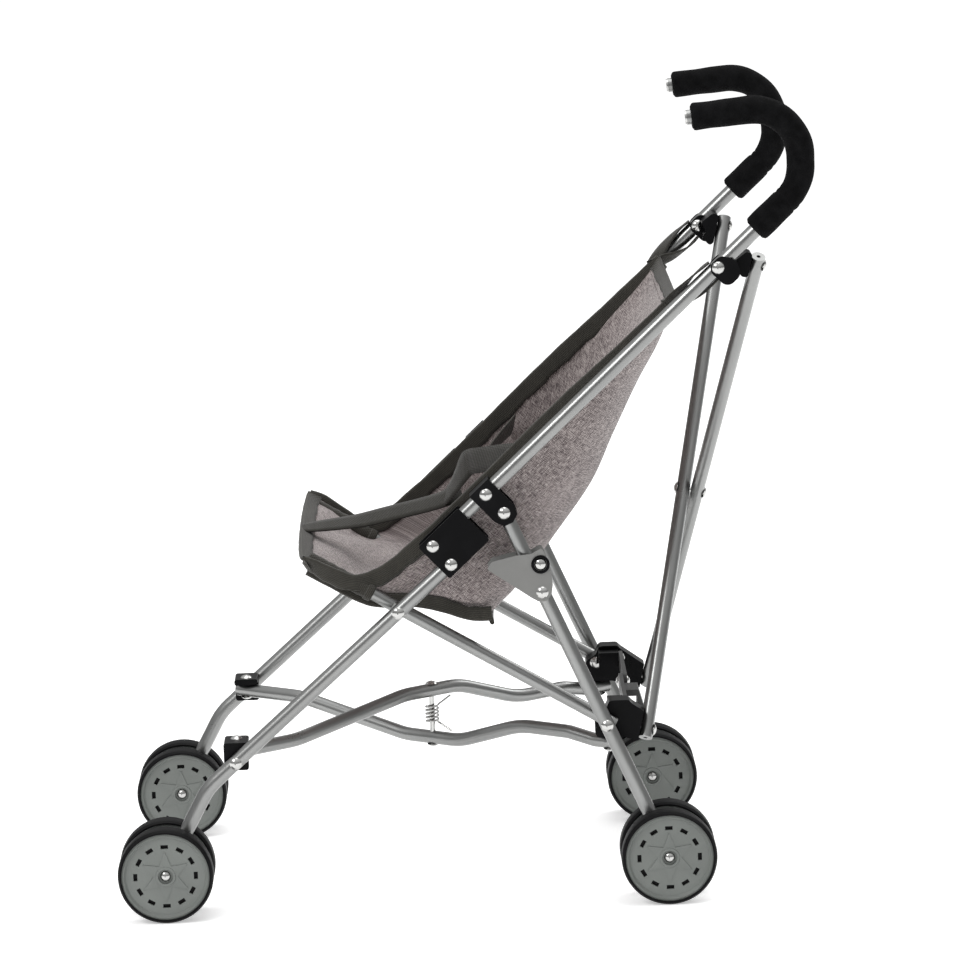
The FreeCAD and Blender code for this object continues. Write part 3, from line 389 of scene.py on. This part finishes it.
def skinFaces(rows, count):
    # quads between rows of points that each run round a closed section, and a cap on each end
    faces = [(r * count + c, r * count + (c + 1) % count, (r + 1) * count + (c + 1) % count,
              (r + 1) * count + c) for r in range(rows - 1) for c in range(count)]
    return faces, tuple(range(count)), tuple(range((rows - 1) * count, rows * count))


def ribbon(name, path, normals, width, thickness, material, segments=4):
    # a flat strap along the path, with its face turned to each normal
    path = np.asarray(path, float)
    normals = np.asarray(normals, float)
    tangent = np.gradient(path, axis=0)
    tangent /= np.linalg.norm(tangent, axis=1, keepdims=True)
    side = np.cross(tangent, normals)
    side /= np.linalg.norm(side, axis=1, keepdims=True)
    upward = np.cross(side, tangent)
    length = np.r_[0, np.linalg.norm(np.diff(path, axis=0), axis=1).cumsum()]
    ring = [(-0.5 + k / segments, 0.5) for k in range(segments + 1)]
    ring += [(0.5 - k / segments, -0.5) for k in range(segments + 1)]
    points, flat = [], []
    for p, s, n, l in zip(path, side, upward, length):
        for a, b in ring:
            soft = 1 - 0.35 * (abs(a) * 2) ** 6
            points.append(p + s * a * width + n * b * thickness * soft)
            flat.append((l, a * width, 0))
    faces, first, last = skinFaces(len(path), len(ring))
    item = newMesh(name, points, faces + [first, last[::-1]], flat)
    item.data.materials.append(material)
    return item


tape = {"edge": 0.0105, "hem": 0.0090, "seam": 0.0080, "backSeam": 0.0045, "thickness": 0.0032}


def hemTape(name, points, outward, wrap):
    # bias tape folded over a cloth edge: a U-shaped strip whose legs lie on both faces
    points = np.asarray(points, float)
    outward = np.asarray(outward, float)
    tangent = np.gradient(points, axis=0)
    tangent /= np.linalg.norm(tangent, axis=1, keepdims=True)
    outward = outward - (outward * tangent).sum(1, keepdims=True) * tangent
    outward /= np.linalg.norm(outward, axis=1, keepdims=True)
    normal = np.cross(tangent, outward)
    length = np.r_[0, np.linalg.norm(np.diff(points, axis=0), axis=1).cumsum()]
    half = tape["thickness"] / 2
    bend = [math.pi / 2 - k * math.pi / 6 for k in range(7)]
    profile = [(-wrap + k * wrap / 4, half) for k in range(4)]
    profile += [(math.cos(angle) * half, math.sin(angle) * half) for angle in bend]
    profile += [(-wrap * (k + 1) / 4, -half) for k in range(4)]
    profile += [(-wrap + 0.0002, half * (-0.5 + 0.5 * k)) for k in range(3)]
    verts, flat = [], []
    for p, o, n, l in zip(points, outward, normal, length):
        wander = 1 + 0.05 * math.sin(l * 210) + 0.03 * math.sin(l * 520 + 1)
        for a, b in profile:
            verts.append(p + o * a * wander + n * b)
            flat.append((l, a + b, 0))
    faces, first, last = skinFaces(len(points), len(profile))
    item = newMesh(name, verts, faces + [first, last[::-1]], flat)
    item.data.materials.append(paint["binding"])
    return item


soft = [sling]
rows = np.linspace(0, 1, 170)
for word, across in (("left", -1), ("right", 1)):
    edge = slingPoint(rows, np.full(rows.shape, across))
    inside = slingPoint(rows, np.full(rows.shape, across * 0.90))
    soft.append(hemTape("edge_tape_" + word, edge, edge - inside, tape["edge"]))
columns = spreadAcross(90)
for word, place, inner in (("top", 0.0, 0.02), ("front", 1.0, 0.98)):
    edge = slingPoint(np.full(columns.shape, place), columns)
    inside = slingPoint(np.full(columns.shape, inner), columns)
    soft.append(hemTape("hem_tape_" + word, edge, edge - inside, tape["hem"]))
# binding along each wall's lower seam, and across where the back meets the seat
seamLine = curveThrough(seat["seam"], np.linspace(0, 1, 90))
wallSeams = {word: np.insert(seamLine, 1, side * (seat["halfWidth"] - 0.0004), 1)
             for word, side in (("left", -1), ("right", 1))}
for word, side in (("left", -1), ("right", 1)):
    outward = np.tile((0.0, side * 0.30, -1.0), (90, 1))
    soft.append(hemTape("seam_tape_" + word, wallSeams[word] - (0, 0, 0.0020), outward, tape["seam"]))
across = np.linspace(-1, 1, 90)
sag = seat["seamSag"] * np.sin(across * 9) * (1 - across ** 2)
cross = np.stack([seat["backSeam"][0] + sag * 0.5, across * (seat["halfWidth"] + 0.0004),
                  seat["backSeam"][1] + sag], 1)
soft.append(hemTape("seam_tape_back", cross - (0, 0, 0.0022), np.tile((0.35, 0.0, -1.0), (90, 1)),
                    tape["backSeam"]))
print("hems made")


def stitches(name, path, normals, length=0.0024, space=0.0013, radius=0.00028):
    # a row of short stitches lying on the cloth
    path = np.asarray(path, float)
    run = np.r_[0, np.linalg.norm(np.diff(path, axis=0), axis=1).cumsum()]
    verts, faces = [], []
    start = 0.002
    while start + length < run[-1]:
        ends = [np.array([np.interp(t, run, path[:, k]) for k in range(3)]) for t in (start, start + length)]
        normal = np.array([np.interp(start, run, normals[:, k]) for k in range(3)])
        along = (ends[1] - ends[0]) / np.linalg.norm(ends[1] - ends[0])
        side = np.cross(along, normal)
        base = len(verts)
        for share, swell in ((0, 0.3), (0.3, 1.0), (0.7, 1.0), (1, 0.3)):
            middle = ends[0] + (ends[1] - ends[0]) * share
            for k in range(6):
                turn = k * math.pi / 3
                verts.append(middle + (side * math.cos(turn) + normal * math.sin(turn)) * radius * swell)
        for ring in range(3):
            for k in range(6):
                faces.append((base + ring * 6 + k, base + ring * 6 + (k + 1) % 6,
                              base + ring * 6 + 6 + (k + 1) % 6, base + ring * 6 + 6 + k))
        start += length + space
    item = newMesh(name, verts, faces)
    item.data.materials.append(paint["thread"])
    return item


def sheetNormals(along, across):
    d = 0.004
    a = slingPoint(np.clip(along + d, 0, 1), across) - slingPoint(np.clip(along - d, 0, 1), across)
    b = slingPoint(along, np.clip(across + d, -1, 1)) - slingPoint(along, np.clip(across - d, -1, 1))
    n = np.cross(b, a)
    return n / (np.linalg.norm(n, axis=1, keepdims=True) + 1e-12)


for word, place in (("top", seat["topStitch"]), ("front", seat["frontStitch"])):
    line = np.full(columns.shape, place)
    normal = sheetNormals(line, columns)
    for face in (1, -1):
        path = slingPoint(line, columns) + normal * face * (seat["thickness"] / 2 + 0.0001)
        soft.append(stitches("stitch_%s_%s" % (word, "in" if face > 0 else "out"), path[3:-3], normal[3:-3]))


def tubeEnds(name):
    # the middle of a straight tube's front and rear ends
    item = frame["nodes"][name]
    points = np.array([v.co for v in item.data.vertices], float)
    centre = points.mean(0)
    way = np.linalg.svd(points - centre, full_matrices=False)[2][0]
    way = way * (1 if way[0] > 0 else -1)
    reach = (points - centre) @ way
    return centre + way * reach.min(), centre + way * reach.max()


def pipeSkin(name, path, radii, material, sides=40):
    # a closed tube of changing radius along the path
    path = np.asarray(path, float)
    tangent = np.gradient(path, axis=0)
    tangent /= np.linalg.norm(tangent, axis=1, keepdims=True)
    verts, flat = [], []
    length = np.r_[0, np.linalg.norm(np.diff(path, axis=0), axis=1).cumsum()]
    for p, t, r, l in zip(path, tangent, radii, length):
        across = np.array((0.0, 1.0, 0.0))
        up = np.cross(t, across)
        up /= np.linalg.norm(up)
        across = np.cross(up, t)
        for k in range(sides):
            turn = 2 * math.pi * k / sides
            verts.append(p + (across * math.cos(turn) + up * math.sin(turn)) * r)
            flat.append((turn * 0.007, l, 0))
    faces, first, last = skinFaces(len(path), sides)
    item = newMesh(name, verts, faces + [first[::-1], last], flat)
    item.data.materials.append(material)
    return item


# tape sleeves cover the front ends of the seat tubes, each with a hem at its rear end
cuff = {"tubeRadius": 0.0046, "thickness": 0.0009, "past": -0.0012, "length": 0.051,
        "hemStart": 0.0445, "hemLength": 0.0055, "hemThickness": 0.0016}
for word in ("left", "right"):
    front, rear = tubeEnds("seat_tube_" + word)
    way = (rear - front) / np.linalg.norm(rear - front)
    share = np.linspace(0, 1, 50)
    path = [front + way * (cuff["past"] + cuff["length"] * t) for t in share]
    radii = [cuff["tubeRadius"] + cuff["thickness"] + 0.00022 * math.sin(t * 41) * math.sin(math.pi * t)
             - 0.0007 * math.exp(-(t / 0.02) ** 2) for t in share]
    sleeve = pipeSkin("sleeve_" + word, path, radii, paint["binding"])
    share = np.linspace(0, 1, 8)
    path = [front + way * (cuff["hemStart"] + cuff["hemLength"] * t) for t in share]
    radii = [cuff["tubeRadius"] + cuff["hemThickness"] - 0.0005 * abs(2 * t - 1) ** 4 for t in share]
    sleeveHem = pipeSkin("sleeve_hem_" + word, path, radii, paint["binding"])
    for item in (sleeve, sleeveHem):
        soft.append(item)
print("sleeves made")


def smoothLine(points, count=60):
    return curveThrough(points, np.linspace(0, 1, count))


webbing = {"width": 0.0165, "beltWidth": 0.01782, "hangerWidth": 0.0090, "thickness": 0.0014}
crotch = smoothLine([(-0.1130, 0, 0.2475), (-0.1040, 0, 0.2480), (-0.0850, 0.001, 0.2495),
                     (-0.0690, 0.001, 0.2515), (-0.0440, 0.002, 0.2565), (-0.0260, 0.001, 0.2605),
                     (-0.0120, 0, 0.2645), (0.0, 0, 0.2700)])
crotchFace = smoothLine([(0.05, -0.15, 1), (0.1, -0.3, 0.9), (0.2, -0.42, 0.85), (0.25, -0.45, 0.8),
                         (0.25, -0.40, 0.8)])
crotchStrap = ribbon("crotch_strap", crotch, crotchFace, webbing["width"], webbing["thickness"],
                     paint["webbing"])
straps = [crotchStrap]
# each half of the lap belt: the points that it follows, and the way its face is turned
beltRuns = {
    "left": ([(-0.0110, -0.003, 0.2665), (-0.0075, -0.009, 0.2720), (-0.0020, -0.018, 0.2815),
              (0.0035, -0.028, 0.2920), (0.0065, -0.034, 0.2960), (0.0110, -0.044, 0.2985),
              (0.0190, -0.060, 0.3020), (0.0290, -0.080, 0.3065), (0.0390, -0.0990, 0.3100)],
             [(-0.80, -0.30, 0.55), (-0.80, -0.35, 0.50), (-0.78, -0.50, 0.38), (-0.70, -0.68, 0.20),
              (-0.62, -0.78, 0.05), (-0.62, -0.78, -0.05), (-0.68, -0.73, -0.05), (-0.74, -0.67, 0.0),
              (-0.80, -0.60, 0.0)]),
    "right": ([(-0.0110, 0.003, 0.2665), (-0.0040, 0.014, 0.2700), (0.0050, 0.032, 0.2750),
               (0.0140, 0.052, 0.2820), (0.0250, 0.072, 0.2900), (0.0400, 0.0990, 0.3000)],
              [(-0.60, -0.30, 0.75), (-0.65, -0.30, 0.7), (-0.7, -0.1, 0.7), (-0.75, 0.1, 0.6),
               (-0.8, 0.3, 0.5), (-0.8, 0.45, 0.4)]),
}
for word, (run, facing) in beltRuns.items():
    straps.append(ribbon("lap_belt_" + word, smoothLine(run), smoothLine(facing), webbing["beltWidth"],
                         webbing["thickness"], paint["webbing"]))
# two strands hang each top corner from the bracket's rivet, one over the handle tube and one under it
slope = math.radians(42.7)
rise = np.array((math.cos(slope), 0, math.sin(slope)))
over = np.array((-math.sin(slope), 0, math.cos(slope)))
handleFoot = np.array((-0.02105, 0, 0.2541))  # a point on the handle tubes' axis, seen from the side
hangers = {
    # along the handle tube, over its axis, and out from the middle
    "over": [(0.2300, 0.0036, 0.1070), (0.2370, 0.0052, 0.1105), (0.2460, 0.0064, 0.1155),
             (0.2560, 0.0070, 0.1180), (0.2640, 0.0066, 0.1185), (0.2695, 0.0060, 0.1185)],
    "under": [(0.2300, 0.0030, 0.1065), (0.2370, 0.0005, 0.1085), (0.2450, -0.0035, 0.1105),
              (0.2540, -0.0062, 0.1135), (0.2610, -0.0068, 0.1160), (0.2660, -0.0064, 0.1170)],
}
for word, side in (("left", -1), ("right", 1)):
    for layer, run in hangers.items():
        line = smoothLine([handleFoot + rise * a + over * v + np.array((0, side * y, 0))
                           for a, v, y in run], 48)
        turns = smoothLine([(0, -side * 0.9, 0.35), (0, -side * 0.7, 0.6), (0, -side * 0.3, 0.9), (0, 0, 1),
                            (0, 0, 1)], 48)
        facing = np.array([over * turn[2] * (1 if layer == "over" else -1) + np.array((0, turn[1], 0))
                           for turn in turns])
        straps.append(ribbon("hanger_%s_%s" % (layer, word), line, facing, webbing["hangerWidth"],
                             webbing["thickness"], paint["webbing"]))
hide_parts("harness_webbing")
soft += straps
print("webbing made")


def roundCorners(points, radius, step=0.0012):
    # the line through the points, with an arc at each corner and even spacing
    out = [points[0]]
    for a, b, c in zip(points, points[1:], points[2:]):
        towards = (b - a) / np.linalg.norm(b - a)
        away = (c - b) / np.linalg.norm(c - b)
        turn = math.acos(np.clip(towards @ away, -1, 1))
        reach = radius * math.tan(turn / 2)
        centre = b + (away - towards) / np.linalg.norm(away - towards) * radius / math.cos(turn / 2)
        first = b - towards * reach - centre
        last = b + away * reach - centre
        for t in np.linspace(0, 1, 24):
            mix = (math.sin((1 - t) * turn) * first + math.sin(t * turn) * last) / math.sin(turn)
            out.append(centre + mix)
    out.append(points[-1])
    out = np.array(out)
    run = np.r_[0, np.linalg.norm(np.diff(out, axis=0), axis=1).cumsum()]
    where = np.linspace(0, run[-1], int(run[-1] / step))
    return np.stack([np.interp(where, run, out[:, k]) for k in range(out.shape[1])], 1)


grip = {"radius": 0.0094, "rounding": 0.0022, "plane": 0.120, "bend": 0.032, "length": 0.16,
        # the hook's line (x, z), from the grip's lower end round to its tip
        "line": [(0.20455, 0.4622), (0.23645, 0.4917), (0.23645, 0.547), (0.16345, 0.54047)],
        # where the foam creases along its share of the length, and how deep
        "creases": [(0.185, 0.0007), (0.215, 0.00035)]}
for word, side in (("left", -1), ("right", 1)):
    line = roundCorners([np.array(point) for point in grip["line"]], grip["bend"])
    path = np.stack([line[:, 0], np.full(len(line), side * grip["plane"]), line[:, 1]], 1)
    radii = []
    for t in np.linspace(0, 1, len(path)):
        ends = min(t, 1 - t) * grip["length"]
        fall = grip["rounding"] * max(0.0, 1 - ends / grip["rounding"]) ** 2
        crease = sum(depth * math.exp(-((t - spot) / 0.006) ** 2) for spot, depth in grip["creases"])
        swell = 0.00020 * math.sin(t * 19) + 0.000096 * math.sin(t * 47 + side)
        radii.append(grip["radius"] - fall - crease + swell)
    foam = pipeSkin("foam_grip_" + word, path, radii, paint["foam"], 48)
    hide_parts("handle_grip_" + word)
    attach(foam, "frame")
print("grips made")


def lathe(centre, section, sides):
    # turns a closed section of (radius, y) about the y axis through the centre
    turns = [2 * math.pi * k / sides for k in range(sides)]
    verts = [(centre[0] + r * math.cos(turn), y, centre[2] + r * math.sin(turn))
             for turn in turns for r, y in section]
    count = len(section)
    faces = [(k * count + c, k * count + (c + 1) % count, (k + 1) % sides * count + (c + 1) % count,
              (k + 1) % sides * count + c) for k in range(sides) for c in range(count)]
    return verts, faces


# a black bush sits round each pinch guard's upper rivet
bush = {"inner": 0.0044, "outer": 0.0064, "height": 0.0011, "sides": 56}
for word, side in (("left", -1), ("right", 1)):
    guard = frame["nodes"]["pinch_guard_" + word]
    corners = np.array([guard.matrix_world @ v.co for v in guard.data.vertices])
    face = side * np.abs(corners[:, 1]).max()
    hardware = frame["nodes"]["rear_leg_hardware_" + word]
    spots = np.array([hardware.matrix_world @ v.co for v in hardware.data.vertices])
    low, high = corners.min(0), corners.max(0)
    near = (spots[:, 0] > low[0]) & (spots[:, 0] < high[0]) & (spots[:, 2] > low[2]) & (spots[:, 2] < high[2])
    heads = spots[near & (np.abs(spots[:, 1]) > abs(face) + 0.0003)]
    upper = heads[heads[:, 2] > (heads[:, 2].max() + heads[:, 2].min()) / 2]
    middle = (upper.max(0) + upper.min(0)) / 2
    profile = [(bush["inner"], 0.0), (bush["inner"], 0.8), (bush["inner"] + 0.0004, 1.0),
               (bush["outer"] - 0.0005, 1.0), (bush["outer"] - 0.0001, 0.7), (bush["outer"], 0.0)]
    turned = [(r, face + side * (0.00005 + h * bush["height"])) for r, h in profile]
    verts, faces = lathe(middle, turned, bush["sides"])
    ring = newMesh("guard_bush_" + word, verts, faces)
    ring.data.materials.append(paint["black"])
    soft.append(ring)
print("bushes made")

# a dark ring closes each wheel's slots from behind; its black is painted shade, standing in for the shade
# inside the slots
slotShadeRing = {"inner": 0.0186, "outer": 0.0230, "thickness": 0.0004, "behind": 0.0049, "sides": 72}
bodyOf = {node: body for body, nodes in frame["record"]["behaviour"]["bodies"].items() for node in nodes}
for name in sorted(node for node in frame["nodes"] if node.startswith("wheel_disc_")):
    low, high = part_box(name.replace("disc", "tyre"))
    hub = [(a + b) / 2 for a, b in zip(low, high)]
    side = -1 if name.endswith("left") else 1
    facing = side if "_outer_" in name else -side
    near = hub[1] + facing * ((high[1] - low[1]) / 2 - slotShadeRing["behind"])
    far = near - facing * slotShadeRing["thickness"]
    loop = [(slotShadeRing["inner"], near), (slotShadeRing["outer"], near),
            (slotShadeRing["outer"], far), (slotShadeRing["inner"], far)]
    verts, faces = lathe(hub, loop, slotShadeRing["sides"])
    ring = newMesh(name.replace("disc", "slot_ring"), verts, faces, smooth=False)
    # black here is painted shade for the slots' insides, not the hub's own colour
    ring.data.materials.append(paint["black"])
    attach(ring, bodyOf[name])
print("slot rings made")

for item in soft:
    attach(item, "frame")

floorMesh = newMesh("floor", [(-9, -6, 0), (9, -6, 0), (9, 16, 0), (-9, 16, 0)], [(0, 1, 2, 3)])
floor = {"colour": (0.90, 0.90, 0.90), "roughness": 0.55, "haze": 0.12, "glow": 0.42}
floorCoat = Coat("paleFloor", floor["colour"], floor["roughness"])
floorCoat.feed("Roughness", floor["roughness"] + floorCoat.noise(3.0) * floor["haze"])
floorCoat.shader.inputs["Emission Color"].default_value = (1, 1, 1, 1)
floorCoat.shader.inputs["Emission Strength"].default_value = floor["glow"]
floorMesh.data.materials.append(floorCoat.material)

# the studio is bright above and dimmer towards the walls, so round tubes show a light and a dark side
studio = {"strength": 0.62, "wall": 0.42, "ceiling": 1.35, "wallHeight": 0.05, "ceilingHeight": 0.75,
          "backdrop": 1.62}
world = bpy.data.worlds.new("studio")
bpy.context.scene.world = world
world.use_nodes = True
sky = Nodes(world.node_tree)
toward = sky.node("ShaderNodeTexCoord", "Generated")
height = sky.node("ShaderNodeSeparateXYZ", "Z", Vector=toward)
fade = sky.node("ShaderNodeMapRange", "Result", Value=height, From_Min=studio["wallHeight"],
                From_Max=studio["ceilingHeight"], To_Min=studio["wall"], To_Max=studio["ceiling"])
seen = sky.node("ShaderNodeLightPath", "Is Camera Ray")
backdrop = sky.node("ShaderNodeMix", 0, None, {0: seen, 2: fade, 3: studio["backdrop"]})
background = world.node_tree.nodes["Background"]
background.inputs["Strength"].default_value = studio["strength"]
world.node_tree.links.new(backdrop.socket, background.inputs["Color"])


def areaLight(name, place, target, size, power):
    lamp = bpy.data.lights.new(name, "AREA")
    lamp.shape = "RECTANGLE"
    lamp.size, lamp.size_y = size
    lamp.energy = power
    item = bpy.data.objects.new(name, lamp)
    item.location = place
    item.rotation_euler = (Vector(target) - Vector(place)).to_track_quat("-Z", "Y").to_euler()
    bpy.context.scene.collection.objects.link(item)


lamps = {
    # place, target, size and power
    "key": ((-1.6, -1.5, 2.2), (0, 0, 0.2), (1.0, 1.0), 30),
    "top": ((0.2, 0.3, 2.6), (0, 0, 0), (2.2, 2.2), 34),
    "rim": ((1.6, 1.5, 1.5), (0, 0, 0.25), (0.9, 1.4), 14),
}
for name, (place, target, size, power) in lamps.items():
    areaLight(name, place, target, size, power)
bpy.context.scene.view_settings.view_transform = "Standard"

view = {"place": (-0.0126, -3.342, 0.859), "pitch": 9.94, "turn": 0.51, "roll": -2.03, "lens": 178.1}
camera = bpy.data.cameras.new("camera")
camera.lens = view["lens"]
camera.sensor_width = 36
camera.clip_end = 30
eye = bpy.data.objects.new("camera", camera)
eye.matrix_world = (Matrix.Translation(view["place"]) @ Matrix.Rotation(math.radians(-view["turn"]), 4, "Z")
                    @ Matrix.Rotation(math.radians(90 - view["pitch"]), 4, "X")
                    @ Matrix.Rotation(math.radians(view["roll"]), 4, "Z"))
bpy.context.scene.collection.objects.link(eye)
bpy.context.scene.camera = eye
print("stage made")
